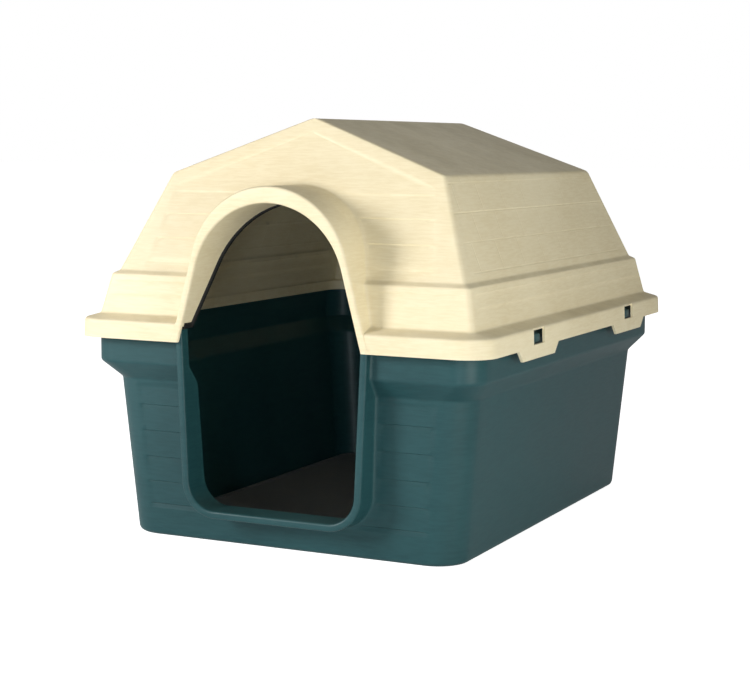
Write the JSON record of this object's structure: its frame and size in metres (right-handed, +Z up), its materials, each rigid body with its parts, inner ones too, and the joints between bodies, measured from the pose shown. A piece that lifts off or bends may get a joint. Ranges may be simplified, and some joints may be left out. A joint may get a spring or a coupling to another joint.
{
  "type": "pet kennel",
  "caption": "Two-piece moulded plastic kennel: a green tapered base tray with a framed doorway and a cream barn-shaped roof that lifts off.",
  "frame": {"origin": "middle of the footprint, on the surface that the kennel stands on", "axes": "+Z up; the doorway faces -Y and the ridge runs along Y; +X is to the right of someone facing the doorway"},
  "size_m": [0.66, 0.82, 0.62],
  "materials": {
    "green_plastic": "fine moulded grain",
    "cream_plastic": "fine moulded wood grain",
    "black_rubber": "smooth matt",
    "grey_rubber": "fine ribbed matt"
  },
  "bodies": {
    "base": {"base_shell": "green_plastic"},
    "roof": {"roof_shell": "cream_plastic", "door_edging": "black_rubber"},
    "mat": {"floor_mat": "grey_rubber"}
  },
  "joints": [
    {"name": "roof_lift", "type": "slide", "parent": "base", "child": "roof", "axis": [0, 0, 1], "range_m": [0, 0.32]},
    {"name": "mat_lift", "type": "slide", "parent": "base", "child": "mat", "axis": [0, 0, 1], "range_m": [0, 0.32]}
  ]
}
